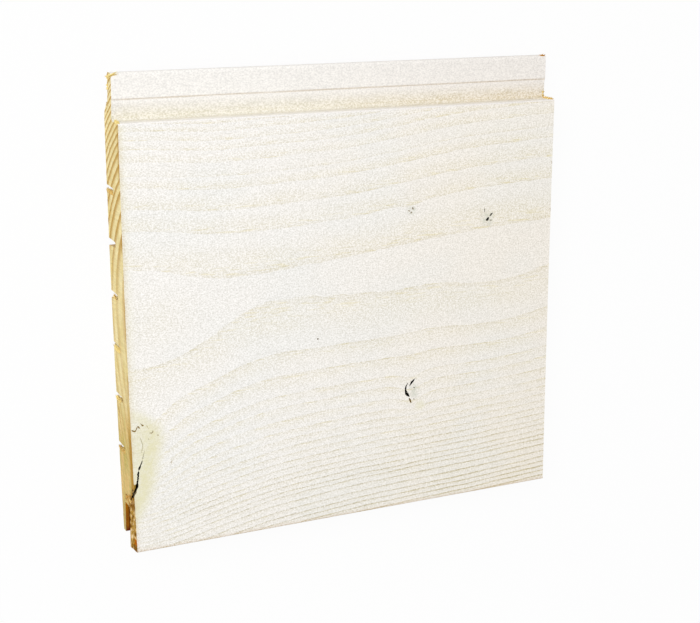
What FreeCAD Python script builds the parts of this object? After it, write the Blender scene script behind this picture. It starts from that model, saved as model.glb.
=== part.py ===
"""Tongue and groove cladding board in spruce, a short sawn length, one piece of wood.

Frame in millimetres: +X along the board, +Y across it towards the tongue, +Z out of the front face.
The board lies on its back, and the origin is the middle of the back, at the centre of the overall box.
"""

import math
import os

import FreeCAD
import Part

# Overall sizes
length = 195.0  # sawn length
thickness = 19.0  # back to front face
face_width = 175.5  # front face, from the front lip's edge to the step above the channel

# Joint with the next board
shadow_gap = 3.0  # open joint that stays between two faces
back_lip_setback = 3.5  # the back lip ends this far short of the front lip
tongue_length = 12.0  # back shoulder to tongue tip
tip_clearance = 1.8  # room past the tip at the bottom of the groove
front_lip = 7.8  # wood in front of the groove
groove_width = 6.6  # wall to wall at the bottom of the groove, through the thickness
groove_flare = 1.4  # the back lip's inside leans away by this much at its edge, which leads the tongue in
side_clearance = 0.2  # play on each side of the tongue
tongue_taper = 0.5  # the tongue's back leans in by this much at its tip

# Channel between the step and the tongue, open to the front
channel_width = 8.4  # step to ledge
ledge_height = 0.35  # the channel's floor starts this far below the tongue's front
channel_fall = 0.55  # and falls by this much more towards the step

# Relief grooves along the back, against cupping
relief_count = 6
relief_pitch = 21.4
relief_depth = 9.0
relief_mouth = 3.0  # width at the back
relief_root = 2.2  # width at the bottom
relief_offset = 2.0  # the row's middle lies this far towards the tongue from the middle of the back

# Rounded corners of the section
arris_radius = 0.6  # eased front edges of the face and of the front lip
shoulder_radius = 0.3  # eased edges at the back and at the groove's mouth
tip_radius = 1.2  # tongue tip
channel_radius = 1.2  # hollow where the channel's floor meets the step
groove_radius = 0.8  # bottom corners of the groove
relief_radius = 0.8  # bottom corners of a relief groove

# Heights in the section, from the back
groove_front = thickness - front_lip
groove_back = groove_front - groove_width
tongue_front = groove_front - side_clearance
tongue_back = groove_back + side_clearance
channel_top = tongue_front - ledge_height
channel_bottom = channel_top - channel_fall

# Places across the section, from the front lip's edge
ledge = face_width + channel_width
back_shoulder = face_width + shadow_gap + back_lip_setback
tongue_tip = back_shoulder + tongue_length
groove_root = back_lip_setback + tongue_length + tip_clearance


def front_side():
    """Face, step and channel, from the front lip to the ledge under the tongue."""
    return [
        (0.0, thickness, arris_radius),
        (face_width, thickness, arris_radius),
        (face_width, channel_bottom, channel_radius),
        (ledge, channel_top, 0.0),
        (ledge, tongue_front, 0.0),
    ]


def tongue():
    """Tongue with a rounded tip, down to the back shoulder that stops the next board."""
    return [
        (tongue_tip, tongue_front, tip_radius),
        (tongue_tip, tongue_back + tongue_taper, tip_radius),
        (back_shoulder, tongue_back, 0.0),
        (back_shoulder, 0.0, shoulder_radius),
    ]


def relief_groove(middle):
    """One tapered relief groove in the back, entered from the tongue's side."""
    return [
        (middle + relief_mouth / 2, 0.0, 0.0),
        (middle + relief_root / 2, relief_depth, relief_radius),
        (middle - relief_root / 2, relief_depth, relief_radius),
        (middle - relief_mouth / 2, 0.0, 0.0),
    ]


def back_side():
    """Row of relief grooves, from the tongue's side to the groove's side."""
    row_middle = (back_lip_setback + back_shoulder) / 2 + relief_offset
    corners = []
    for number in range(relief_count):
        from_middle = (relief_count - 1) / 2 - number
        corners += relief_groove(row_middle + from_middle * relief_pitch)
    return corners


def groove():
    """Short tapered back lip, the groove and the inside of the longer front lip."""
    return [
        (back_lip_setback, 0.0, shoulder_radius),
        (back_lip_setback, groove_back - groove_flare, shoulder_radius),
        (groove_root, groove_back, groove_radius),
        (groove_root, groove_front, groove_radius),
        (0.0, groove_front, shoulder_radius),
    ]


def section_point(across, height):
    """Point of the section at the board's left end, with the overall width centred on the origin."""
    return FreeCAD.Vector(-length / 2, across - tongue_tip / 2, height)


def corner_arc(before, corner, after, radius):
    """Start, middle and end of the arc that rounds one corner of the section."""
    towards_before = (before - corner).normalize()
    towards_after = (after - corner).normalize()
    half_angle = towards_before.getAngle(towards_after) / 2
    setback = radius / math.tan(half_angle)
    inward = (towards_before + towards_after).normalize()
    to_arc = radius / math.sin(half_angle) - radius
    return corner + towards_before * setback, corner + inward * to_arc, corner + towards_after * setback


def rounded_wire(corners):
    """Closed wire through corners given as (across, height, radius)."""
    points = [section_point(across, height) for across, height, _ in corners]
    stops = []
    for index, (_, _, radius) in enumerate(corners):
        corner = points[index]
        if radius > 0:
            after = points[(index + 1) % len(points)]
            stops.append(corner_arc(points[index - 1], corner, after, radius))
        else:
            stops.append((corner,))
    edges = []
    for index, stop in enumerate(stops):
        edges.append(Part.LineSegment(stops[index - 1][-1], stop[0]).toShape())
        if len(stop) > 1:
            edges.append(Part.Arc(*stop).toShape())
    return Part.Wire(edges)


def board():
    """The moulded section, run through the sawn length."""
    section = Part.Face(rounded_wire(front_side() + tongue() + back_side() + groove()))
    return section.extrude(FreeCAD.Vector(length, 0, 0))


os.makedirs("parts", exist_ok=True)
solid = board()
solid.exportStep("parts/board.step")
box = solid.BoundBox
print(f"board valid {solid.isValid()}, volume {solid.Volume:.1f} mm3")
print(f"overall {box.XLength:.2f} x {box.YLength:.2f} x {box.ZLength:.2f} mm")
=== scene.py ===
"""Looks of a short sawn length of tongue and groove cladding: spruce with a thin white stain on its front.

Lengths are millimetres in the board's own frame: along from its left end, across from the front lip's edge
towards the tongue, and up from the back, which lies on the floor.
"""
import math
from collections import Counter, namedtuple

import bpy
import numpy as np
from mathutils import Matrix, Vector, noise
from mathutils.geometry import delaunay_2d_cdt


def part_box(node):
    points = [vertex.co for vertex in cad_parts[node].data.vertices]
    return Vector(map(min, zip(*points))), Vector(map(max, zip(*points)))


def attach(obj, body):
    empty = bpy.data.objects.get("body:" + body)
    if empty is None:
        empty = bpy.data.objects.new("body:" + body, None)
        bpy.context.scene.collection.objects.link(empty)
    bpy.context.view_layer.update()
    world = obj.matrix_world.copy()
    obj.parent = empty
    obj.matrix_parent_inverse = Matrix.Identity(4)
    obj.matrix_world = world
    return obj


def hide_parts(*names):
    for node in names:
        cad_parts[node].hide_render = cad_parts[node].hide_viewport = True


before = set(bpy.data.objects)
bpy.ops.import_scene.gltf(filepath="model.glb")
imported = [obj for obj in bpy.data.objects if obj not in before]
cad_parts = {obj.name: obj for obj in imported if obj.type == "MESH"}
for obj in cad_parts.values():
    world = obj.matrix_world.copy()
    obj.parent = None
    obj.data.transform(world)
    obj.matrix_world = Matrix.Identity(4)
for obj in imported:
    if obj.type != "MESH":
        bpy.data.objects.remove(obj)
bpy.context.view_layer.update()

MM = 0.001
low, high = (np.array(corner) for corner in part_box("board"))
length, width, thickness = (high - low) / MM
rng = np.random.default_rng(195)

# Growth rings. The pith runs in front of the face, so the innermost ring that the face cuts, of this radius,
# shows there as a long oval. Its lower and upper edges are (along, across) points.
inner_ring = 42.2
inner_ring_below = [(0, 78.2), (12, 78.8), (23, 82.2), (34, 87.4), (47, 95.2), (60, 99.9), (72, 100.4),
                    (90, 99.3), (119, 98.6), (140, 99.5), (160, 97.4), (178, 98.6), (195, 102.8)]
inner_ring_above = [(0, 116.2), (20, 114), (45, 111.6), (65, 112.1), (95, 115.4), (119, 118.2), (150, 121.2),
                    (195, 123.8)]
# Further out the rings settle round these centres, also (along, across), over these distances from the pith.
upper_centre = [(0, 99.5), (30, 98.9), (60, 100.4), (95, 101.8), (150, 108.1), (175, 109.5), (195, 110.9)]
upper_settles = (6.0, 20.0)
lower_centre = [(0, 97.2), (15, 98.4), (30, 100.6), (60, 105.4), (95, 108.6), (150, 111), (175, 112.4),
                (195, 113.3)]
lower_settles = (25.0, 70.0)
# Ring widths: inside that ring, then outwards from it one by one, then beyond those
inside_width = 8.2
inside_count = 4
ring_widths = (8.7, 6.2, 6.3, 3.9, 4.5, 4.2, 3.1, 3.1, 2.7, 2.8,
               2.6, 2.6, 2.0, 2.6, 2.3, 1.6, 2.8, 2.9, 2.7, 2.0)
outer_width = 2.1
outer_count = 18
# The ring of this number hardly shows above the pith.
faint_ring = 8
# The rings wander by waves of a height and a size each way. They and the branches' push set in over this
# distance outside the innermost ring, and this share of the waves is left inside it.
ring_waves = [(0.25, (24, 6, 6)), (0.12, (8, 2.5, 2.5))]
bend_reach = 12.0
inner_waves = 0.15

# Branches that the face cuts: where, how far they push the rings outwards, and how far that reaches
Knot = namedtuple("Knot", "along across push reach")
knots = [
    Knot(2.2, 44.7, 8.0, 11.0),
    Knot(125.6, 52.1, 2.6, 5.0),
    Knot(125.2, 132.5, -1.2, 4.0),
    Knot(162.5, 125.4, -1.5, 4.5),
]
# Resin-yellow wood of the branch at the left end: its right limit as (across, along), how softly it ends, and
# by how much it pales well inside that limit and towards its top
resin_limit = [(-3, -4), (6, -3), (12.5, -0.5), (18.7, 3.4), (27, 7), (39.5, 9.8), (47.6, 11.8), (54.3, 10),
               (58, 6), (61.6, 0.1)]
resin_softness = (-3.4, 4.2)
resin_paling = 0.3
resin_inside = (-9.0, -3.0)
resin_top = (48.0, 57.0)
# Resin beside the largest knot, and grey wood of the other branches: (along, across, half length, half width)
resin_patch = (130.0, 45.2, 3.4, 2.8)
resin_patch_share = 0.5
grey_patches = [(127.0, 52.0, 3.2, 4.4), (125.2, 132.3, 3.0, 2.6), (162.2, 125.6, 4.2, 4.6)]

# Cracks and dark marks on the face: points as (along, across, half width), depth, and how black and how brown
# they are. In a crack the black is painted shade; in a knot, bark or resin it is their own colour. Black
# above 1 gives a mark a hard edge.
Mark = namedtuple("Mark", "points depth black brown", defaults=[0.0])
split_mouth = (0, 25.8, 1.3)
split = Mark([(3.9, 40, 0.05), (3.6, 39, 0.2), (3, 37.6, 0.26), (2.4, 36.1, 0.36), (2.1, 35.4, 0.03),
              (2, 34.7, 0.32), (1.9, 33.2, 0.32), (1.75, 31.9, 0.3), (1.35, 29.9, 0.45), (0.95, 27.9, 0.6),
              split_mouth], 3.6, 5)
marks = [
    split,
    # Hair cracks at the top of the split
    Mark([(3.4, 49.3, 0.1), (4, 47.3, 0.2), (4.2, 45.1, 0.22), (3.8, 43.5, 0.2), (3.7, 42.6, 0.1)],
         0.3, 0.17),
    Mark([(4.9, 43.9, 0.1), (4.4, 41.8, 0.18), (4, 40.4, 0.22), (3.8, 39.7, 0.1)], 0.4, 0.2),
    # Crescent round the largest knot
    Mark([(127.8, 58.1, 0.06), (127, 57.2, 0.25), (126.2, 56.4, 0.54), (125.3, 55.5, 0.44),
          (124.8, 54.3, 0.1)], 1.6, 2),
    Mark([(124.2, 56.3, 0.1), (123.1, 54.6, 0.38), (123, 52.8, 0.54), (123.4, 51.4, 0.68),
          (124.1, 50.4, 0.68), (125, 49.8, 0.14)], 2.2, 3),
    Mark([(124.7, 49.3, 0.14), (125.2, 48, 0.46), (125.9, 46.6, 0.1)], 0.7, 0.2, 0.8),
    Mark([(127, 54.1, 0.08), (127.1, 53.6, 0.34), (127.2, 53.1, 0.06)], 0.3, 0.5),
    Mark([(126.9, 48.9, 0.06), (127.1, 48.4, 0.26), (127.2, 47.9, 0.06)], 0.2, 0.3, 0.4),
    # Pin knot at the right, with short rays
    Mark([(161.7, 124.7, 0.1), (162.3, 125.3, 0.66), (162.9, 126, 0.3), (163.2, 126.3, 0.1)], 1.5, 2),
    Mark([(163.4, 126.5, 0.1), (163.9, 127, 0.36), (165.2, 128.2, 0.06)], 0.7, 0.45, 0.2),
    Mark([(163.2, 124.6, 0.06), (164, 124.7, 0.34), (165, 124.9, 0.06)], 0.4, 0.22, 0.1),
    Mark([(160.9, 130.5, 0.06), (160.9, 129.4, 0.3), (161, 128.2, 0.06)], 0.3, 0.3),
    Mark([(158.8, 127.6, 0.06), (159.4, 126.9, 0.24), (160.1, 126.1, 0.06)], 0.3, 0.14),
    Mark([(160.5, 123.2, 0.06), (160.9, 122.8, 0.3), (161.2, 122.3, 0.06)], 0.2, 0.15),
    Mark([(162.3, 123.2, 0.06), (162.6, 122.6, 0.3), (162.7, 122, 0.06)], 0.2, 0.15),
    # Upper pin knot
    Mark([(125.7, 133.8, 0.08), (125.9, 133.1, 0.45), (126.2, 132.2, 0.08)], 0.4, 0.2, 0.3),
    Mark([(125.5, 131.9, 0.08), (125.2, 131.3, 0.42), (125.1, 130.6, 0.06)], 0.4, 0.18, 0.3),
    Mark([(123.4, 132.4, 0.06), (124.1, 132.1, 0.32), (124.9, 131.8, 0.06)], 0.2, 0.13, 0.3),
    # Resin spot
    Mark([(81.2, 80.8, 0.08), (81.5, 81.1, 0.42), (81.8, 81.4, 0.08)], 0.2, 0.3, 0.9),
    # Bark specks in the branch at the left end
    Mark([(0.2, 53.2, 0.1), (1, 52.5, 0.3), (1.4, 52.3, 0.26), (2.1, 53.3, 0.22), (2.8, 54.2, 0.34),
          (3.1, 53.6, 0.26), (3.6, 53.1, 0.1)], 0.3, 0.08, 0.5),
    Mark([(3.6, 55.5, 0.05), (4.2, 54.7, 0.2), (4.6, 54.3, 0.36), (4.9, 53.9, 0.08)], 0.3, 0.12, 0.6),
    Mark([(6.9, 50.9, 0.08), (7.6, 50.7, 0.22), (8.2, 50.6, 0.26), (8.7, 51.1, 0.3), (8.4, 51.8, 0.06)],
         0.3, 0.13, 0.3),
    Mark([(5.9, 54.6, 0.05), (6.4, 53.6, 0.16), (7.1, 52.4, 0.05)], 0.1, 0, 0.25),
    Mark([(10.4, 49.7, 0.06), (10.7, 49.4, 0.3), (11.1, 49, 0.06)], 0.2, 0.08, 0.35),
    Mark([(6.7, 48.7, 0.06), (6.8, 48.2, 0.3), (6.9, 47.7, 0.06)], 0.2, 0.16, 0.2),
    Mark([(16.1, 37.9, 0.1), (16, 37, 0.5), (15.8, 35.9, 0.1)], 0.1, 0, 0.26),
]
# The split runs on over the sawn end, down to the bottom of the groove, black with painted shade. Points are
# (across, up, half width).
end_split = Mark([(split_mouth[1], thickness, split_mouth[2]), (25.2, 18.1, 1.4), (24.7, 17.4, 1.2),
                  (24.1, 16.5, 0.7), (22.9, 15.2, 0.35), (21.2, 13.7, 0.25), (19, 12.2, 0.08)],
                 split.depth, split.black, 0.3)
# Thin brown line on the sawn end, where it cuts the branch
end_line = Mark([(58.6, 1.5, 0.1), (57, 2.4, 0.55), (54, 3.6, 0.2), (50.5, 4.6, 0.22), (46.5, 6.2, 0.06)],
                0.3, 0, 1)
# Between the split's mouth and the sawn end the stained wood is torn off: how far in, from where to where
# across, and how brown
torn_sliver = (0.9, 26, 29.8)
sliver_brown = 0.6
# Lines drawn along a crack from side to side, as shares of its half width, and how far down each lies
crack_sides = (-1.0, -0.88, 0.0, 0.88, 1.0)
crack_depths = (0.0, 0.7, 1.0, 0.7, 0.0)
lines_beside = len(crack_sides) // 2
# Least half width of a crack, the shares by which it varies, and the share of it by which the crack wanders
least_half = 0.02
half_range = (0.75, 1.25)
crack_wander = 0.25
# A crack keeps this many half widths clear of a rim that it meets. It has its full depth down to its greatest
# width divided by this number.
rim_clearance = 1.3
full_depth = 1.6
# Nicks in the face's sawn edges: places across, half width, and how brown
left_nicks = (118.8, 78.6, 75.6)
nick_half = 0.45
left_nick_brown = 0.2
right_nicks = (148.0, 127.3)
right_nick_half = 0.54
right_nick_brown = 0.3

# Mesh spacing on the face, round its marks, on the sawn ends and round the section
face_spacing = 1.5
mark_spacing = 0.42
mark_margin = 1.6
end_spacing = 1.0
side_spacing = 1.6
# Along the board it grows from the fine step at each end to the coarse one.
column_fine = 0.7
column_coarse = 2.4
column_growth = 1.18
# Step along a crack and the fewest points on it
crack_step = 0.45
crack_points = 4
# Room that filling points leave along cracks and rims, and how unevenly they lie, as a share of the spacing
face_crack_room = 0.8 * mark_spacing
face_rim_room = 0.5
end_crack_room = 0.5 * end_spacing
end_rim_room = 0.4 * end_spacing
unevenness = 0.12
# Edges that turn by more than this stay sharp.
sharp_angle = math.radians(35)

# Places in the section
arris = 0.61  # eased front edges
tip_round = 0.4  # the stain ends on the back of the tongue's round tip, at most this far short of its edge
ledge = 183.8  # between channel and tongue
# From these heights down, the channel's painted shade sets in as well
channel_walls = (14.0, 11.0)  # from here down the stain is that of the channel
top_relief = 148.25  # middle of the relief groove nearest the tongue
relief_pitch = 21.4
# Groove: where its shade sets in across, at the back lip, and just past its bottom and its two sides
groove_mouth = (3.3, 3.6)
groove_bottom = 17.5
groove_sides = (2.7, 11.3)

# Wear of the sawn ends: how far in it reaches, depth of the saw marks, how far each end bows out, and where
# along in the noise it is read
end_reach = 7.0
saw_depth = 0.16
left_bow = 0.7
right_bow = 0.3
wear_place = 3.7
# Wear of the left end alone: how deep, and the ranges across and up over which it sets in
Wear = namedtuple("Wear", "depth across up")
lip_tear = Wear(0.6, (26.0, 20.0), (18.7, 16.5))
lip_flare = Wear(0.5, (9.0, 2.0), (16.0, 12.0))
above_groove = (9.5, 11.0)  # these two set in over this range up as well
tongue_chip = Wear(0.22, (182.0, 186.0), (7.6, 5.4))
shoulder_chip = Wear(1.1, (176.5, 182.0), (4.8, 0.8))

# Torn fibres: how many, the box that their roots lie in, their main direction and its spread, and the ranges
# of their reach, half thickness and brownness
Fibres = namedtuple("Fibres", "count lowest highest heading spread reach half brown")
torn_fibres = [
    # Left end of the tongue: back edge, its two thicker tufts, and a long shred along the tip
    Fibres(14, (0.5, 183.5, 6.4), (0.8, 192.6, 7.4), (-0.6, 0.1, -0.6), 0.3, (0.5, 1), (0.3, 0.5), (0, 0.3)),
    Fibres(9, (0.3, 187.6, 5.6), (0.6, 189.6, 6.8), (-0.7, 0, -0.7), 0.3, (0.7, 1.2), (0.45, 0.7), (0, 0.15)),
    Fibres(9, (0.3, 191.6, 6.2), (0.6, 192.8, 8.4), (-0.8, 0.1, -0.5), 0.3,
           (0.8, 1.5), (0.45, 0.7), (0, 0.5)),
    Fibres(6, (-1.2, 192.3, 10.5), (-0.6, 192.9, 11), (1, 0.42, 0.04), 0.05,
           (3.6, 4.6), (0.4, 0.6), (0, 0.25)),
    # Left end along the step
    Fibres(30, (0.2, 174.8, 13), (0.5, 175.3, 18.6), (-0.2, 1, 0), 0.2, (0.8, 1.8), (0.3, 0.5), (0, 0.05)),
    # Below the split, down to the groove, and on the end of the front lip
    Fibres(30, (0.7, 18, 8.5), (1, 23, 14.5), (-1, -0.4, -0.2), 0.5, (0.7, 1.5), (0.1, 0.26), (0.4, 1)),
    Fibres(12, (-0.4, 18.2, 6), (-0.1, 21, 13), (-0.2, 1, 0.6), 0.25, (1.6, 2.8), (0.25, 0.4), (0.4, 1)),
    Fibres(10, (-0.4, 20.5, 7), (-0.1, 23, 15), (-0.2, -1, 0.8), 0.25, (1.6, 2.6), (0.25, 0.4), (0.3, 1)),
    Fibres(46, (0.7, 0.5, 11.6), (1, 17, 18.4), (-1, -0.2, 0), 0.5, (0.6, 1.2), (0.1, 0.24), (0.2, 1)),
    # Right end: tip of the tongue and along the step
    Fibres(7, (191.9, 193.4, 9.6), (192.7, 193.9, 10.3), (1, 0.25, 0.1), 0.08,
           (1.6, 2.6), (0.3, 0.5), (0.5, 1)),
    Fibres(4, (193.9, 193.6, 9.6), (194.3, 194, 10.2), (1, -0.3, 0), 0.1, (1.4, 2), (0.25, 0.4), (0.2, 0.8)),
    Fibres(34, (194, 174.8, 10.4), (194.5, 175.3, 17.6), (0.4, 1, 0.1), 0.2,
           (0.9, 1.5), (0.4, 0.6), (0.1, 0.6)),
    Fibres(14, (194, 175.6, 9.7), (194.4, 178.2, 10.2), (0.8, 0.2, 0.4), 0.2,
           (0.7, 1.1), (0.3, 0.45), (0.1, 0.6)),
]
# Fur that the saw left at the left end of the relief grooves, from the tongue's side on. Places across count
# from the middle of the groove.
across_groove = (-0.1, 1, 0)
groove_fur = [
    Fibres(90, (0, -1.8, 0.7), (0.6, -1.5, 8.8), across_groove, 0.15, (1.6, 2.3), (0.2, 0.35), (0, 0.7)),
    Fibres(8, (0.2, -1.7, 5), (1.5, -1.4, 8.6), across_groove, 0.3, (0.6, 1.2), (0.12, 0.25), (0.4, 1)),
    Fibres(9, (0, -1.8, 4.4), (0.6, -1.5, 6), across_groove, 0.15, (2.6, 3.2), (0.2, 0.35), (0, 0.5)),
    Fibres(90, (0, -1.8, 1.4), (0.6, -1.5, 8.8), across_groove, 0.12, (2.2, 3.2), (0.25, 0.4), (0, 0.2)),
    Fibres(70, (0, -1.8, 0.8), (0.6, -1.5, 6.5), across_groove, 0.15, (1.6, 2.3), (0.25, 0.4), (0, 0.3)),
    Fibres(90, (0, -1.8, 0.7), (0.6, -1.5, 8.8), across_groove, 0.15, (1.7, 2.3), (0.2, 0.35), (0.1, 0.7)),
]
# A fibre bends by up to this share of its reach, and half-way it has this share of its thickness.
fibre_bend = 0.2
fibre_taper = 0.75


def smooth_curve(points, at):
    """Smooth curve through a few (place, value) points, read at the given places."""
    place, value = np.array(points, float).T
    slope = np.gradient(value, place)
    i = np.clip(np.searchsorted(place, at) - 1, 0, len(place) - 2)
    step = place[i + 1] - place[i]
    t = np.clip((at - place[i]) / step, 0, 1)
    near = value[i] * (1 + 2 * t) + step * slope[i] * t
    far = value[i + 1] * (3 - 2 * t) - step * slope[i + 1] * (1 - t)
    return near * (1 - t) ** 2 + far * t ** 2


def blend(value, start, end):
    """Smooth step from 0 at start to 1 at end."""
    t = np.clip((value - start) / (end - start), 0, 1)
    return t * t * (3 - 2 * t)


def waver(points, size):
    """Smooth noise from about -1 to 1 at points, with features of that size, or of one size each way."""
    return np.array([noise.noise(Vector(place)) for place in points / np.array(size)])


# Wood


def pith(along):
    """Where the pith lies across and up, along the board."""
    below = smooth_curve(inner_ring_below, along)
    above = smooth_curve(inner_ring_above, along)
    half = (above - below) / 2
    return (below + above) / 2, thickness + np.sqrt(inner_ring ** 2 - half ** 2)


def knot_push(knot, points):
    """How far a branch pushes the rings outwards at points."""
    centre, pith_up = (value[0] for value in pith(np.array([knot.along])))
    outwards = np.array([knot.across - centre, thickness - pith_up])
    outwards /= np.linalg.norm(outwards)
    from_pith = points[:, 1:] - [centre, pith_up]
    beside = from_pith @ [-outwards[1], outwards[0]]
    away = np.hypot(points[:, 0] - knot.along, beside)
    return knot.push * np.exp(-((away / knot.reach) ** 2) / 2) * (from_pith @ outwards > 0)


def ring_radius(points):
    """Distance from the pith at points, bent by knots and by the wood's wander."""
    along, across, up = points.T
    centre, pith_up = pith(along)
    above = blend(across - centre, *upper_settles)
    below = blend(centre - across, *lower_settles)
    centre = centre + above * (smooth_curve(upper_centre, along) - centre)
    centre = centre + below * (smooth_curve(lower_centre, along) - centre)
    radius = np.hypot(across - centre, up - pith_up)
    outside = blend(radius - inner_ring, 0, bend_reach)
    bend = sum(height * waver(points, size) for height, size in ring_waves)
    bend *= inner_waves + (1 - inner_waves) * outside
    for knot in knots:
        bend -= outside * knot_push(knot, points)
    return radius + bend


def growth(points):
    """Ring number and ring width at points."""
    widths = np.concatenate([[inside_width] * inside_count, ring_widths, [outer_width] * outer_count])
    edges = inner_ring - inside_count * inside_width + np.concatenate([[0], np.cumsum(widths)])
    radius = ring_radius(points)
    number = np.interp(radius, edges, np.arange(len(edges)))
    return number, np.interp(radius, (edges[1:] + edges[:-1]) / 2, widths)


# Section


def read_section():
    """Outline of the moulded section as (across, up) points in order, from the CAD node's left end."""
    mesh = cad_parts["board"].data
    at_end = {v.index for v in mesh.vertices if v.co.x < low[0] + 0.01 * MM}
    edge_uses = Counter()
    for polygon in mesh.polygons:
        if at_end.issuperset(polygon.vertices):
            edge_uses.update(polygon.edge_keys)
    beside = {}
    for (first, second), uses in edge_uses.items():
        if uses == 1:
            beside.setdefault(first, []).append(second)
            beside.setdefault(second, []).append(first)
    loop = [min(beside)]
    while len(loop) < len(beside):
        loop.append(next(v for v in beside[loop[-1]] if len(loop) < 2 or v != loop[-2]))
    corners = np.array([mesh.vertices[v].co for v in loop])
    return ((corners - low) / MM)[:, 1:]


def divide(start, end, spacing):
    """Points from start up to, but not including, end."""
    steps = max(1, math.ceil(np.linalg.norm(end - start) / spacing))
    return [start + (end - start) * k / steps for k in range(steps)]


def face_places(first, last):
    """Places across the face of the points along its sawn edges, closer at the split and the nicks."""
    nicks = np.add.outer(left_nicks + right_nicks, np.array([-nick_half, 0, nick_half]))
    extra = np.concatenate([nicks.ravel(), split_mouth[1] + split_mouth[2] * np.array(crack_sides)])
    even = np.linspace(first, last, round((last - first) / side_spacing) + 1)
    even = even[np.abs(even[:, None] - extra).min(1) > nick_half]
    return np.sort(np.concatenate([even, extra]))


def section_points():
    """Evenly spaced section: over the face, down over the tongue, under the board and back up the front lip.

    Returns the points and how many of them, which come first, lie on the flat face.
    """
    corners = read_section()
    after = np.roll(corners, -1, axis=0)
    if (corners[:, 0] * after[:, 1] - corners[:, 1] * after[:, 0]).sum() > 0:
        corners = corners[::-1]
        after = np.roll(corners, -1, axis=0)
    face = int(np.argmax(np.linalg.norm(after - corners, axis=1)))
    corners = np.roll(corners, -face, axis=0)
    places = face_places(corners[0, 0], corners[1, 0])
    points = [np.array([place, thickness]) for place in places]
    for start, end in zip(corners[1:], np.roll(corners, -1, axis=0)[1:]):
        points += divide(start, end, side_spacing)
    del points[len(places)]
    return np.array(points), len(places)


def column_places():
    """Places along the board for the side strips, closer together at both ends."""
    steps = [column_fine]
    while sum(steps) < length / 2:
        steps.append(min(steps[-1] * column_growth, column_coarse))
    half = np.concatenate([[0], np.cumsum(steps)]) * length / 2 / sum(steps)
    return np.concatenate([half, (length - half[:-1])[::-1]])


# Flat sheets of points, with cracks


def scatter(lowest, highest, spacing):
    """Slightly uneven triangular grid of points inside a box."""
    rows = np.arange(lowest[1] + spacing / 2, highest[1], spacing * math.sqrt(0.75))
    points = []
    for number, y in enumerate(rows):
        x = np.arange(lowest[0] + spacing / (1 + number % 2), highest[0], spacing)
        points.append(np.column_stack([x, np.full(len(x), y)]))
    points = np.concatenate(points)
    return points + rng.uniform(-unevenness, unevenness, points.shape) * spacing


def crack_line(points):
    """Finer points along a wandering crack, as (x, y, half width), and their sideways directions."""
    points = np.array(points, float)
    reach = np.concatenate([[0], np.cumsum(np.linalg.norm(np.diff(points[:, :2], axis=0), axis=1))])
    at = np.linspace(0, reach[-1], max(crack_points, round(reach[-1] / crack_step) + 1))
    fine = np.column_stack([smooth_curve(list(zip(reach, column)), at) for column in points.T])
    heading = np.gradient(fine[:, :2], axis=0)
    heading /= np.linalg.norm(heading, axis=1)[:, None]
    sideways = np.column_stack([-heading[:, 1], heading[:, 0]])
    half = np.maximum(fine[:, 2], least_half) * rng.uniform(*half_range, len(fine))
    wander = half * rng.uniform(-crack_wander, crack_wander, len(fine))
    wander[[0, -1]] = 0
    fine[:, :2] += sideways * wander[:, None]
    fine[:, 2] = half
    return fine, sideways


def distance_to_line(points, line):
    """Shortest distance from each point to a line through points."""
    start, step = line[:-1], np.diff(line, axis=0)
    from_start = points[:, None] - start
    t = np.clip((from_start * step).sum(2) / (step ** 2).sum(1), 0, 1)
    return np.linalg.norm(from_start - t[..., None] * step, axis=2).min(1)


def inside(points, outline):
    """Which points lie inside a closed outline."""
    x, y = points.T
    found = np.zeros(len(points), bool)
    for (x0, y0), (x1, y1) in zip(outline, np.roll(outline, -1, axis=0)):
        if y0 != y1:
            found ^= ((y0 > y) != (y1 > y)) & (x < x0 + (y - y0) * (x1 - x0) / (y1 - y0))
    return found


class Sheet:
    """Flat points inside an outline, joined by triangles, with cracks drawn in as lines side by side."""

    def __init__(self, outline):
        self.points = [tuple(point) for point in outline]
        self.rim = len(outline)
        self.edges = []
        self.lines = []
        self.sunk = {}

    def add(self, points):
        first = len(self.points)
        self.points += [tuple(point) for point in points]
        return list(range(first, len(self.points)))

    def crack(self, points, depth, start=None, end=None):
        """Crack along points, which meets the rim points, one a line, that start or end may name.

        Returns the numbers of the points in the crack.
        """
        fine, sideways = crack_line(points)
        inside_rim = np.arange(len(fine)) % (len(fine) - 1) > 0
        for at, met in ((0, start), (-1, end)):
            if met:
                inside_rim &= np.linalg.norm(fine[:, :2] - fine[at, :2], axis=1) > rim_clearance * fine[at, 2]
        inner, aside = fine[inside_rim], sideways[inside_rim] * fine[inside_rim, 2:]
        first = start or self.add(fine[:1, :2]) * len(crack_sides)
        last = end or self.add(fine[-1:, :2]) * len(crack_sides)
        share = np.minimum(1, full_depth * inner[:, 2] / inner[:, 2].max())
        within = []
        for side, down, a, b in zip(crack_sides, crack_depths, first, last):
            row = self.add(inner[:, :2] + side * aside)
            chain = [a, *row, b]
            self.edges += zip(chain[:-1], chain[1:])
            if down:
                self.sunk.update(zip(row, depth * down * share))
                met = [met for met, given in ((a, start), (b, end)) if given]
                self.sunk.update({point: depth * down for point in met})
                within += row + met
        self.lines.append(fine[:, :2])
        return within

    def fill(self, points, gap):
        """Adds the points that keep a gap from every crack."""
        for line in self.lines:
            points = points[distance_to_line(points, line) > gap]
        self.add(points)

    def triangles(self):
        """Triangles as numbers of points. Where drawn lines cross, a point is added."""
        places, _, faces, names, _, _ = delaunay_2d_cdt(
            [Vector(point) for point in self.points], self.edges, [list(range(self.rim))], 1, 1e-6)
        number = [given[0] if given else self.add([place])[0] for place, given in zip(places, names)]
        return [tuple(number[v] for v in face) for face in faces]


# Board


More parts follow.
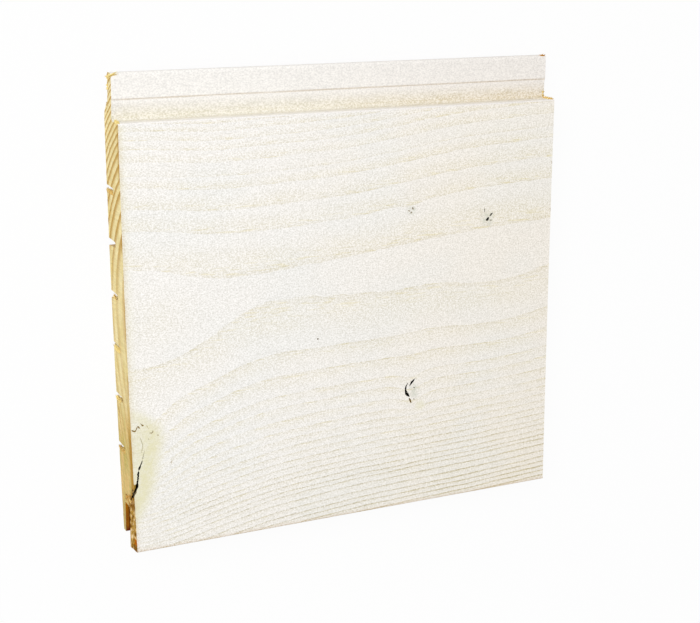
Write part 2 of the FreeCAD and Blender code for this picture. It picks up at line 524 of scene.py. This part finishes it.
class Solid:
    """Points and faces of the board while it is put together, with the finish of each face."""

    def __init__(self):
        self.points = []
        self.faces = []
        self.finishes = []

    def add_points(self, points):
        first = len(self.points)
        self.points += [tuple(point) for point in points]
        return np.arange(first, len(self.points))

    def add_faces(self, faces, finish):
        self.faces += [tuple(int(v) for v in face) for face in faces]
        self.finishes += [finish] * len(faces)


FACE, MOULDING, END, BARE = range(4)


def add_sides(solid, strip, columns):
    """Strips from end to end, for every run of the section but the face. Returns their points in rows."""
    grid = np.array([[(along, *point) for along in columns] for point in strip])
    rows = solid.add_points(grid.reshape(-1, 3)).reshape(grid.shape[:2])
    tip = int(np.flatnonzero(strip[:, 0] > width - tip_round)[-1])
    for row in range(len(strip) - 1):
        quads = np.column_stack([rows[row, :-1], rows[row, 1:], rows[row + 1, 1:], rows[row + 1, :-1]])
        on_arris = strip[row, 1] > thickness - arris and strip[row, 0] < arris
        solid.add_faces(quads, FACE if on_arris else MOULDING if row < tip else BARE)
    return rows


def in_boxes(points, boxes):
    """Which points lie in any of the boxes."""
    found = np.zeros(len(points), bool)
    for lowest, highest in boxes:
        found |= ((points > lowest) & (points < highest)).all(1)
    return found


def face_fill(first, last):
    """Points for the inside of the face, closer together round its marks."""
    boxes = []
    for mark in marks:
        places = np.array(mark.points)[:, :2]
        boxes.append((places.min(0) - mark_margin, places.max(0) + mark_margin))
    lowest = np.array([0, first]) + face_rim_room
    highest = np.array([length, last]) - face_rim_room
    coarse = scatter(lowest, highest, face_spacing)
    filled = [coarse[~in_boxes(coarse, boxes)]]
    for number, (box_low, box_high) in enumerate(boxes):
        fine = scatter(np.maximum(box_low, lowest), np.minimum(box_high, highest), mark_spacing)
        filled.append(fine[~in_boxes(fine, boxes[:number])])
    return np.concatenate(filled)


def face_rim(across, columns):
    """Places round the flat face, along its lower edge first."""
    bottom = [(along, across[0]) for along in columns]
    right = [(length, place) for place in across]
    top = [(along, across[-1]) for along in columns[::-1]]
    left = [(0.0, place) for place in across[::-1]]
    return bottom[:-1] + right[:-1] + top[:-1] + left[:-1]


def add_face(solid, across, columns, rows, colours):
    """Flat face between the side strips. Returns its points along the left and the right end."""
    sheet = Sheet(face_rim(across, columns))
    at_left = [(sheet.rim - k) % sheet.rim for k in range(len(across))]
    at_right = [len(columns) - 1 + k for k in range(len(across))]
    mouth = int(np.argmin(np.abs(across - split_mouth[1])))
    at_mouth = at_left[mouth - lines_beside:mouth + lines_beside + 1][::-1]
    bottoms = []
    for mark in marks:
        met = at_mouth if mark is split else None
        bottoms.append(sheet.crack(mark.points, mark.depth, end=met))
    sheet.fill(face_fill(across[0], across[-1]), face_crack_room)
    faces = sheet.triangles()
    place = np.column_stack([sheet.points, np.full(len(sheet.points), thickness)])
    for point, depth in sheet.sunk.items():
        place[point, 2] -= depth
    number = np.full(len(place), -1)
    number[:len(columns)] = rows[-1]
    number[at_right[-1]:at_right[-1] + len(columns)] = rows[0, ::-1]
    new = number < 0
    number[new] = solid.add_points(place[new])
    solid.add_faces([number[list(face)] for face in faces], FACE)
    for mark, points in zip(marks, bottoms):
        colours.update({number[point]: (mark.black, mark.brown) for point in points})
    return number[at_left], number[at_right]


def add_end(solid, section, rim, at_left, colours):
    """Sawn end inside the section, on the points of its rim."""
    sheet = Sheet(section)
    in_split, in_line = [], []
    if at_left:
        mouth = int(np.argmin(np.abs(section - [split_mouth[1], thickness]).sum(1)))
        met = list(range(mouth - lines_beside, mouth + lines_beside + 1))
        in_split = sheet.crack(end_split.points, end_split.depth, start=met)
        in_line = sheet.crack(end_line.points, end_line.depth)
    points = scatter((0, 0), (width, thickness), end_spacing)
    points = points[inside(points, section)]
    closed = np.concatenate([section, section[:1]])
    points = points[distance_to_line(points, closed) > end_rim_room]
    sheet.fill(points, end_crack_room)
    faces = sheet.triangles()
    along = np.full(len(sheet.points), 0.0 if at_left else length)
    for point, depth in sheet.sunk.items():
        along[point] += depth
    number = np.concatenate([rim, solid.add_points(np.column_stack([along, sheet.points])[sheet.rim:])])
    for mark, within in ((end_split, in_split), (end_line, in_line)):
        colours.update({number[point]: (mark.black, mark.brown) for point in within if point >= sheet.rim})
    turned = [number[list(face)][::-1 if at_left else 1] for face in faces]
    solid.add_faces(turned, END)


def end_bow(across):
    """Share of a sawn end's bow at places across it."""
    return 4 * across * (width - across) / width ** 2


def worn(wear, across, up):
    """Depth of one kind of wear at places on the left end."""
    return wear.depth * blend(across, *wear.across) * blend(up, *wear.up)


def end_wear(points):
    """How far points at the ends move: saw marks, bowed cuts, torn lip, chipped tongue and shoulder."""
    along, across, up = points.T
    left = np.clip(1 - along / end_reach, 0, 1) ** 2
    right = np.clip(1 - (length - along) / end_reach, 0, 1) ** 2
    side = points * [0, 1, 1] + [wear_place, 0, 0]
    saw = saw_depth * (0.5 + 0.35 * waver(side, (1, 1.1, 7)) + 0.3 * waver(side, 0.8))
    ragged = np.abs(waver(side, 1.3) + 0.5 * waver(side, 0.6)) - 0.5
    torn = worn(lip_tear, across, up) * ragged - worn(lip_flare, across, up)
    torn *= blend(up, *above_groove)
    chipped = worn(tongue_chip, across, up) + worn(shoulder_chip, across, up)
    chipped *= 0.9 + 0.5 * waver(side, 1.6)
    bow = end_bow(across)
    return left * (saw + torn + np.maximum(chipped, 0) - left_bow * bow) - right * (saw + right_bow * bow)


def build_board():
    """Board as a solid, with the black and brown of its marks by point."""
    section, on_face = section_points()
    columns = column_places()
    solid = Solid()
    colours = {}
    strip = np.concatenate([section[on_face - 1:], section[:1]])
    rows = add_sides(solid, strip, columns)
    left, right = add_face(solid, section[:on_face, 0], columns, rows, colours)
    add_end(solid, section, [*left, *rows[1:-1, 0]], True, colours)
    add_end(solid, section, [*right, *rows[1:-1, -1]], False, colours)
    return solid, colours


def in_patch(along, across, patch):
    """1 inside an oval patch, falling to 0 at its edge."""
    centre_along, centre_across, half_along, half_across = patch
    away = np.hypot((along - centre_along) / half_along, (across - centre_across) / half_across)
    return 1 - blend(away, 0.35, 1.0)


def mark_colours(points, colours):
    """Black and brown of the marks, the torn sliver and the nicks at points."""
    along, across, up = points.T
    black, brown = np.zeros((2, len(points)))
    for point, shades in colours.items():
        black[point], brown[point] = shades
    within, lowest, highest = torn_sliver
    brown[(along < within) & (across > lowest) & (across < highest) & (up > thickness - arris)] = sliver_brown
    for place in left_nicks:
        brown[np.hypot(along, across - place) < nick_half] = left_nick_brown
    for place in right_nicks:
        brown[np.hypot(length - along, across - place) < right_nick_half] = right_nick_brown
    return black, brown


def resin_share(along, across):
    """How yellow the wood is with resin, in the branch at the left end and beside the largest knot."""
    past = along - smooth_curve(resin_limit, across)
    share = 1 - blend(past, *resin_softness)
    share *= 1 - resin_paling + resin_paling * blend(past, *resin_inside)
    share *= 1 - resin_paling * blend(across, *resin_top)
    return np.maximum(share, resin_patch_share * in_patch(along, across, resin_patch))


def bare_share(along, across):
    """How far bare wood shows through the stain, on the front lip's edge and along the left end."""
    return 0.55 * blend(across, 1.1, 0.2) + 0.25 * blend(along, arris, 0)


def line_strength(along, across):
    """How strong the fine line of a ring is: stronger towards the lip and the right, none at the split."""
    below_pith = blend(across, 100, 80)
    by_lip = blend(across, 48, 4)
    from_split = np.hypot(along - 2, (across - 38) * 0.6)
    strength = (0.13 + 0.04 * below_pith) * (0.65 + 0.35 * blend(along, 40, 120))
    strength += 0.76 * by_lip * (0.33 + 0.67 * along / length)
    return strength * blend(from_split, 8, 28)


def band_strength(number, along, across):
    """How strong a ring's cream is: stronger at the upper right, and weak in the faint ring."""
    strength = 1 + 0.3 * blend(along, 80, 180) * blend(across, 105, 120)
    strength[(np.floor(number) == faint_ring) & (across > 100)] = 0.3
    return strength


def torn_share(points):
    """Where the left end is torn: on the front lip and round the split."""
    along, across, up = points.T
    on_lip = blend(across, 24, 20) * blend(up, 10, 11.5)
    to_split = distance_to_line(points[:, 1:], np.array(end_split.points)[:, :2])
    return np.maximum(on_lip, 1 - blend(to_split, 1.0, 3.0)) * (along < length / 2)


def groove_shade(points):
    """How deep the shade in the groove is, deepest near its left end."""
    along, across, up = points.T
    lowest, highest = groove_sides
    in_groove = (across < groove_bottom) & (up > lowest) & (up < highest)
    return in_groove * blend(across, *groove_mouth) * (1 - 0.65 * blend(along, 4, 22))


def finish_values(points, colours):
    """What the materials need to know at each point."""
    along, across, _ = points.T
    number, ring_width = growth(points)
    black, brown = mark_colours(points, colours)
    return {
        "ring": number, "ring_width": ring_width, "black": black, "brown": brown,
        "resin": resin_share(along, across),
        "grey": np.max([in_patch(along, across, patch) for patch in grey_patches], axis=0),
        "bare": bare_share(along, across),
        "line": line_strength(along, across),
        "band": band_strength(number, along, across),
        "torn": torn_share(points),
        "shaded": groove_shade(points),
    }


def add_piece(name, points, faces, materials, values):
    """Mesh object from points in metres, with its materials and its values by point."""
    data = bpy.data.meshes.new(name)
    data.from_pydata(points, [], faces)
    for key, value in values.items():
        data.attributes.new(key, "FLOAT", "POINT").data.foreach_set("value", np.array(value, np.float32))
    for material in materials:
        data.materials.append(material)
    piece = bpy.data.objects.new(name, data)
    bpy.context.scene.collection.objects.link(piece)
    return piece


def make_board(finishes):
    """Piece timber, which stands for the solid board."""
    solid, colours = build_board()
    points = np.array(solid.points)
    values = finish_values(points, colours)
    points[:, 0] += end_wear(points)
    timber = add_piece("timber", low + points * MM, solid.faces, finishes, values)
    timber.data.polygons.foreach_set("material_index", solid.finishes)
    timber.data.shade_smooth()
    timber.data.set_sharp_from_angle(angle=sharp_angle)
    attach(timber, "root")
    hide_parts("board")


# Torn fibres


def fibre_shape(root, heading, reach, half):
    """Points and faces of one fibre: a bent three-sided spike."""
    heading = heading / np.linalg.norm(heading)
    side = np.cross(heading, rng.normal(size=3))
    side /= np.linalg.norm(side)
    other = np.cross(heading, side)
    bend = side * reach * rng.uniform(-fibre_bend, fibre_bend)
    turns = np.arange(3) * 2 * math.pi / 3
    around = np.outer(np.cos(turns), side) + np.outer(np.sin(turns), other)
    middle = root + heading * reach / 2
    points = [*(root + around * half), *(middle + around * half * fibre_taper), root + heading * reach + bend]
    faces = [(2, 1, 0)]
    for k in range(3):
        after = (k + 1) % 3
        faces += [(k, after, after + 3, k + 3), (k + 3, after + 3, 6)]
    return points, faces


def fibres_in(group, shift=(0, 0, 0)):
    """Points, faces and brownness of one group of fibres, moved by a shift."""
    for _ in range(group.count):
        root = rng.uniform(group.lowest, group.highest) + shift
        heading = np.array(group.heading) + rng.normal(0, group.spread, 3)
        points, faces = fibre_shape(root, heading, rng.uniform(*group.reach), rng.uniform(*group.half))
        yield points, faces, rng.uniform(*group.brown)


def make_fibres(finish):
    """Piece torn_fibres, the loose shreds and fur on the ends."""
    groups = [fibres_in(group) for group in torn_fibres]
    for number, group in enumerate(groove_fur):
        middle = top_relief - number * relief_pitch
        groups.append(fibres_in(group, (-left_bow * end_bow(middle), middle, 0)))
    points, faces, brown = [], [], []
    for group in groups:
        for its_points, its_faces, its_brown in group:
            faces += [tuple(v + len(points) for v in face) for face in its_faces]
            points += its_points
            brown += [its_brown] * len(its_points)
    fibres = add_piece("torn_fibres", low + np.array(points) * MM, faces, [finish], {"brown": brown})
    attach(fibres, "root")


# Materials


def linear(red, green, blue):
    """Linear colour of a shade that is written as it looks, from 0 to 255."""
    written = [value / 255 for value in (red, green, blue)]
    return (*(v / 12.92 if v < 0.04045 else ((v + 0.055) / 1.055) ** 2.4 for v in written), 1.0)


# Black of the dark knots and bark, and painted shade down in the cracks
crack_shade_and_knot_black = (6, 4, 2)
# The stain turns warmer over this range along the board.
stain_warms = (37.0, 197.0)


class Nodes:
    """Nodes of one tree. A value is a constant or another node's socket."""

    def __init__(self, tree):
        self.tree = tree

    def new(self, kind, values=(), **settings):
        """New node with its settings and its first inputs."""
        node = self.tree.nodes.new("ShaderNode" + kind)
        for name, value in settings.items():
            setattr(node, name, value)
        for socket, value in zip(node.inputs, values):
            self.put(socket, value)
        return node

    def put(self, socket, value):
        """Links an input to a socket, or sets it to a constant."""
        if isinstance(value, bpy.types.NodeSocket):
            self.tree.links.new(value, socket)
        else:
            socket.default_value = value

    def math(self, operation, *values):
        return self.new("Math", values, operation=operation).outputs[0]

    def add(self, first, second):
        return self.math("ADD", first, second)

    def times(self, product, *others):
        for other in others:
            product = self.math("MULTIPLY", product, other)
        return product


class Wood(Nodes):
    """Nodes of one wood material, with places in millimetres of the board's own frame."""

    def __init__(self, name):
        self.material = bpy.data.materials.new(name)
        self.material.use_nodes = True
        super().__init__(self.material.node_tree)
        place = self.new("TexCoord").outputs["Object"]
        place = self.new("VectorMath", [place, tuple(low)], operation="SUBTRACT").outputs[0]
        self.place = self.new("VectorMath", [place, (MM, MM, MM)], operation="DIVIDE").outputs[0]
        self.along, self.across, self.up = self.new("SeparateXYZ", [self.place]).outputs

    def attribute(self, name):
        return self.new("Attribute", attribute_name=name).outputs["Fac"]

    def rise(self, value, start, end, lowest=0.0, highest=1.0):
        """Smooth step from lowest at start to highest at end."""
        values = (value, start, end, lowest, highest)
        return self.new("MapRange", values, interpolation_type="SMOOTHSTEP").outputs[0]

    def zone(self, *shares, **ranges):
        """Product of shares and of a smooth step over each range along, across or up."""
        steps = [self.rise(getattr(self, way), *limits) for way, limits in ranges.items()]
        return self.times(*steps, *shares)

    def noise(self, along, across, up, detail=1.0):
        """Noise from 0 to 1 with features of these sizes."""
        place = self.new("VectorMath", [self.place, (along, across, up)], operation="DIVIDE").outputs[0]
        node = self.new("TexNoise")
        self.put(node.inputs["Vector"], place)
        self.put(node.inputs["Scale"], 1.0)
        self.put(node.inputs["Detail"], detail)
        return node.outputs["Fac"]

    def mix(self, share, first, second, blend_type="MIX"):
        """Mix of two colours. A colour is a socket or a shade as it looks, from 0 to 255."""
        node = self.new("Mix", data_type="RGBA", blend_type=blend_type)
        for socket, value in zip((node.inputs[0], node.inputs[6], node.inputs[7]), (share, first, second)):
            self.put(socket, linear(*value) if isinstance(value, tuple) else value)
        return node.outputs[2]

    def shade(self, base, strength, value, blue=1.0):
        """Base, darker to brighter by strength as value goes from 0 to 1, its blue by blue times as much."""
        level, blue_level = (self.rise(value, 0.0, 1.0, 1 - s, 1 + s) for s in (strength, strength * blue))
        grey = self.new("CombineColor", [level, level, blue_level]).outputs[0]
        return self.mix(1.0, base, grey, "MULTIPLY")

    def finish(self, base, roughness, height, relief, specular):
        """Surface of a colour and a roughness, with a relief in millimetres from a height of 0 to 1."""
        surface = self.tree.nodes["Principled BSDF"]
        bump = self.new("Bump")
        self.put(bump.inputs["Distance"], relief * MM)
        self.put(bump.inputs["Height"], height)
        self.put(surface.inputs["Base Color"], base)
        self.put(surface.inputs["Roughness"], roughness)
        self.put(surface.inputs["Specular IOR Level"], specular)
        self.put(surface.inputs["Normal"], bump.outputs["Normal"])
        return self.material


def ring_place(wood, wander):
    """How far through its ring a point is, from 0 to 1, and how many millimetres outside its inner edge."""
    ring_width = wood.attribute("ring_width")
    shift = wood.times(wood.add(wood.noise(9, 1.6, 1.6, 2), -0.5), wander)
    shift = wood.math("DIVIDE", shift, ring_width)
    through = wood.math("FRACT", wood.add(wood.attribute("ring"), shift))
    return through, wood.times(through, ring_width)


def stained_rings(wood, base, speckle):
    """Rings under the stain: cream and golden dashes that fade outwards, and a fine line inside."""
    through, millimetres = ring_place(wood, 0.45)
    band = wood.attribute("band")
    patches = wood.rise(wood.noise(22, 7, 7, 2), 0.3, 0.7, 0.5, 1.1)
    cream = wood.times(wood.rise(through, 0.2, 0.9, 0.18, 0), patches, band)
    cream = wood.times(cream, wood.rise(speckle, 0.36, 0.62, 1.65, 0.42))
    base = wood.mix(cream, base, (234, 222, 184))
    dashes = wood.rise(wood.noise(10, 0.9, 0.9, 2), 0.55, 0.66)
    dashes = wood.times(dashes, wood.rise(through, 0, 0.4, 0.34, 0), band)
    base = wood.mix(dashes, base, (230, 216, 150))
    line = wood.times(wood.rise(millimetres, 0.15, 0.74, 1, 0), wood.attribute("line"))
    line = wood.times(line, wood.rise(speckle, 0.36, 0.62, 1.3, 0.7))
    line = wood.times(line, wood.rise(patches, 0.5, 1.1, 0.75, 1.1))
    to_right = wood.zone(along=(0, length))
    return wood.mix(line, base, wood.mix(to_right, (200, 193, 170), (203, 189, 148)))


def add_marks(wood, base):
    """Resin, grey wood, brown bark, black knots and painted shade in the cracks over a base colour."""
    uneven = wood.noise(1.6, 1.6, 1.6, 2)
    resin = wood.times(wood.attribute("resin"), wood.rise(uneven, 0.2, 0.7, 0.6, 0.95))
    base = wood.mix(resin, base, (234, 229, 190))
    grey = wood.times(wood.attribute("grey"), wood.rise(uneven, 0.35, 0.65, 0.15, 0.6))
    base = wood.mix(grey, base, (205, 208, 192))
    base = wood.mix(wood.rise(wood.attribute("brown"), 0.08, 0.5), base, (142, 112, 34))
    return wood.mix(wood.rise(wood.attribute("black"), 0.04, 0.45), base, crack_shade_and_knot_black)


def stained_face():
    """Fine-sawn face under a thin white stain."""
    wood = Wood("stained_face")
    speckle = wood.noise(0.68, 0.54, 0.54)
    cloud = wood.noise(3.2, 1.6, 1.6, 2)
    base = wood.mix(wood.zone(along=stain_warms), (250, 247, 242), (249, 243, 233))
    cool = wood.rise(wood.noise(45, 28, 28), 0.42, 0.65, 0, 0.3)
    base = wood.mix(cool, base, (242, 243, 240))
    by_lip = wood.zone(across=(36, 8), along=(0, length, 0.03, 0.05))
    base = wood.mix(by_lip, base, (236, 214, 166))
    base = stained_rings(wood, base, speckle)
    base = wood.shade(base, 0.235, speckle, blue=1.12)
    base = wood.shade(base, 0.015, cloud)
    base = add_marks(wood, base)
    bare = wood.times(wood.attribute("bare"), wood.rise(speckle, 0.3, 0.6, 1.2, 0.7))
    base = wood.mix(bare, base, (205, 172, 118))
    roughness = wood.rise(speckle, 0.2, 0.8, 0.78, 0.62)
    return wood.finish(base, roughness, speckle, relief=0.12, specular=0.08)


def stained_moulding():
    """Planed step, channel and tongue under the same stain, thinner and yellower down in the channel, with
    painted shade there.
    """
    wood = Wood("stained_moulding")
    speckle = wood.noise(0.76, 0.56, 0.56)
    fibre = wood.noise(14, 0.8, 0.8, 2)
    to_right = wood.zone(along=stain_warms)
    base = wood.mix(to_right, (247, 244, 239), (243, 238, 232))
    # Painted shade over the channel floor below the ledge
    channel_painted_shade = wood.zone(across=(182.6, 181.6), up=channel_walls, along=(0, 100, 0.24, 0.12))
    base = wood.mix(channel_painted_shade, base, (220, 215, 206))
    # Thinner, yellower stain and painted shade, both deepening towards the step
    thin = wood.zone(across=(183.6, 176.2, 0, 0.3), up=channel_walls, along=(60, 190, 1, 1.5))
    thin = wood.times(thin, wood.rise(fibre, 0.25, 0.75, 0.75, 1.25))
    thin = wood.times(thin, wood.rise(speckle, 0.35, 0.65, 1.45, 0.55))
    base = wood.mix(thin, base, wood.mix(to_right, (203, 194, 148), (209, 191, 146)))
    on_step = wood.zone(across=(175.6, 175.9, 0.3, 0), up=(18.2, 16.5))
    base = wood.mix(on_step, base, (240, 232, 212))
    from_ledge = wood.math("ABSOLUTE", wood.add(wood.across, -ledge))
    ledge_line = wood.rise(from_ledge, 0.1, 0.55, 0.36, 0)
    ledge_line = wood.times(ledge_line, wood.rise(fibre, 0.3, 0.6, 0.5, 1.2))
    base = wood.mix(ledge_line, base, (192, 170, 132))
    base = wood.shade(base, 0.18, speckle)
    roughness = wood.rise(fibre, 0.2, 0.8, 0.66, 0.55)
    return wood.finish(base, roughness, speckle, relief=0.06, specular=0.3)


def end_grain(wood):
    """Colour of sound end grain: darker and streaked towards the lip, brown by the face and the split."""
    through, _ = ring_place(wood, 0.3)
    late = wood.times(wood.rise(through, 0.35, 0.85), wood.rise(through, 1, 0.96))
    clear = wood.zone(across=(25, 52, 0.1, 0.35))
    clear = wood.add(clear, wood.zone(across=(102, 137, 0, 0.5)))
    tone = wood.noise(30, 12, 5, 2)
    base = wood.mix(wood.rise(tone, 0.3, 0.7), (240, 226, 176), (228, 210, 150))
    streak = wood.rise(wood.noise(9, 16, 2.2), 0.35, 0.65)
    darker = wood.mix(streak, (190, 174, 94), (220, 184, 118))
    base = wood.mix(wood.zone(across=(77, 37, 0, 0.75)), base, darker)
    base = wood.mix(wood.times(late, clear), base, (184, 142, 64))
    by_face = wood.zone(0.6, wood.rise(wood.noise(9, 22, 9), 0.45, 0.6), up=(15.8, 18.4))
    by_split = wood.zone(0.8, along=(20, 10), across=(66, 44), up=(13.4, 16.8))
    base = wood.mix(wood.math("MAXIMUM", by_face, by_split), base, (174, 124, 26))
    on_back_lip = wood.zone(0.4, across=(18, 15), up=(6, 4))
    return wood.mix(on_back_lip, base, (172, 156, 104))


def torn_end(wood):
    """Colour of torn end grain: mottled, with an orange and an olive spot, and dark above the groove."""
    mottle = wood.noise(1.6, 2.2, 1.1, 2)
    base = wood.mix(wood.rise(mottle, 0.38, 0.48), (126, 84, 18), (186, 146, 66))
    base = wood.mix(wood.rise(mottle, 0.54, 0.64), base, (232, 204, 156))
    orange = wood.zone(wood.zone(across=(2, 2.8)), across=(5.8, 5), up=(14.8, 15.8))
    base = wood.mix(orange, base, (176, 100, 0))
    olive = wood.zone(0.85, across=(3, 2), up=(13.8, 15.2))
    base = wood.mix(olive, base, (122, 80, 14))
    hollow = wood.zone(0.6, wood.zone(across=(16.8, 18.6)), across=(25, 22), up=(9, 11))
    return wood.mix(hollow, base, (120, 74, 12))


def sawn_end():
    """Bare sawn end: sound and torn end grain, open pores, saw marks and the split with painted shade in it.
    """
    wood = Wood("sawn_end")
    pores = wood.noise(0.5, 0.35, 0.5)
    saw = wood.noise(1, 0.7, 6)
    base = wood.mix(wood.attribute("torn"), end_grain(wood), torn_end(wood))
    brown = wood.rise(wood.attribute("brown"), 0.4, 0.9, 0, 0.8)
    base = wood.mix(brown, base, (132, 84, 24))
    base = wood.shade(base, 0.12, pores)
    base = wood.shade(base, 0.10, saw)
    # The black here is painted shade down in the split.
    base = wood.mix(wood.rise(wood.attribute("black"), 0.04, 0.4), base, crack_shade_and_knot_black)
    height = wood.add(wood.times(saw, 0.6), wood.times(pores, 0.4))
    return wood.finish(base, 0.85, height, relief=0.25, specular=0.05)


def groove_depths(wood):
    """Colour of the shaded wood inside the groove."""
    streak = wood.noise(1.4, 12, 1.4)
    base = wood.mix(wood.rise(streak, 0.35, 0.65), (150, 84, 0), (204, 128, 0))
    base = wood.mix(wood.zone(along=(0.3, 1.8, 0, 0.85)), base, (84, 32, 0))
    return wood.mix(wood.zone(across=(7, 4, 0, 0.85)), base, (94, 12, 0))


def bare_wood():
    """Bare planed back, relief grooves and joint faces."""
    wood = Wood("bare_wood")
    through, _ = ring_place(wood, 0.35)
    late = wood.times(wood.rise(through, 0.3, 0.9), wood.rise(through, 1, 0.95))
    fibre = wood.noise(18, 0.5, 0.5, 2)
    tone = wood.noise(40, 9, 9, 2)
    base = wood.mix(wood.rise(tone, 0.3, 0.7), (232, 208, 158), (220, 192, 136))
    base = wood.mix(wood.times(late, 0.7), base, (194, 150, 86))
    base = wood.mix(wood.times(wood.attribute("shaded"), 0.99), base, groove_depths(wood))
    base = wood.shade(base, 0.12, fibre)
    roughness = wood.rise(fibre, 0.2, 0.8, 0.85, 0.7)
    return wood.finish(base, roughness, fibre, relief=0.1, specular=0.1)


def torn_wood():
    """Shreds of bare wood, pale yellow to brown."""
    wood = Wood("torn_wood")
    grain = wood.noise(1.5, 0.3, 0.3, 2)
    base = wood.mix(wood.attribute("brown"), (238, 218, 146), (180, 120, 22))
    base = wood.shade(base, 0.2, grain)
    roughness = wood.rise(grain, 0.2, 0.8, 0.8, 0.6)
    return wood.finish(base, roughness, grain, relief=0.05, specular=0.2)


# Camera at the photograph's viewing angle, which has the tongue at the top of the picture. Its places count
# from the frame's origin.
camera_place = Vector((-243.13, 142.11, 541.51)) * MM
camera_target = Vector((0.88, -6.85, 14.71)) * MM
camera_top = Vector((0.10841, 0.96862, -0.22366))
image_width = 700
focal_pixels = 1411.1


def make_camera():
    data = bpy.data.cameras.new("camera")
    data.lens = data.sensor_width * focal_pixels / image_width
    camera = bpy.data.objects.new("camera", data)
    bpy.context.scene.collection.objects.link(camera)
    ahead = (camera_target - camera_place).normalized()
    right = ahead.cross(camera_top).normalized()
    axes = Matrix((right, right.cross(ahead), -ahead)).transposed()
    camera.matrix_world = Matrix.Translation(camera_place) @ axes.to_4x4()
    bpy.context.scene.camera = camera


# Studio, with lengths in metres
floor_half = 6.0
floor_grey = 0.9
floor_white = 0.94
world_strength = 0.5
key_place = Vector((-0.9, 0.6, 1.3))
key_side = 1.0
key_power = 18.0


def seen_directly(nodes):
    """1 for what the camera sees, also in gloss or through glass, and 0 for light on the object."""
    path = nodes.new("LightPath").outputs
    total = path["Is Camera Ray"]
    for name in ("Is Glossy Ray", "Is Transmission Ray"):
        total = nodes.math("MAXIMUM", total, path[name])
    return total


def floor_finish():
    """Pale floor that looks white where it is lit and keeps a soft shadow."""
    material = bpy.data.materials.new("floor")
    material.use_nodes = True
    nodes = Nodes(material.node_tree)
    nodes.tree.nodes.clear()
    diffuse = nodes.new("BsdfDiffuse", [(floor_grey, floor_grey, floor_grey, 1)]).outputs[0]
    white = nodes.new("Emission").outputs[0]
    share = nodes.times(seen_directly(nodes), floor_white)
    both = nodes.new("MixShader", [share, diffuse, white]).outputs[0]
    nodes.new("OutputMaterial", [both])
    return material


def make_floor():
    corners = [(x * floor_half, y * floor_half, low[2]) for x, y in ((-1, -1), (1, -1), (1, 1), (-1, 1))]
    floor = add_piece("floor", corners, [(0, 1, 2, 3)], [floor_finish()], {})


def make_light():
    """Even white surroundings and one soft lamp from the upper left of the picture."""
    world = bpy.data.worlds.new("world")
    world.use_nodes = True
    nodes = Nodes(world.node_tree)
    level = nodes.new("MapRange", [seen_directly(nodes), 0.0, 1.0, world_strength, 1.0]).outputs[0]
    background = nodes.tree.nodes["Background"]
    nodes.put(background.inputs["Color"], (1, 1, 1, 1))
    nodes.put(background.inputs["Strength"], level)
    bpy.context.scene.world = world
    data = bpy.data.lights.new("key", "AREA")
    data.size = key_side
    data.energy = key_power
    key = bpy.data.objects.new("key", data)
    key.location = key_place
    key.rotation_euler = (-key_place).to_track_quat("-Z", "Y").to_euler()
    bpy.context.scene.collection.objects.link(key)


make_board([stained_face(), stained_moulding(), sawn_end(), bare_wood()])
make_fibres(torn_wood())
make_camera()
make_floor()
make_light()
bpy.context.scene.view_settings.view_transform = "Standard"
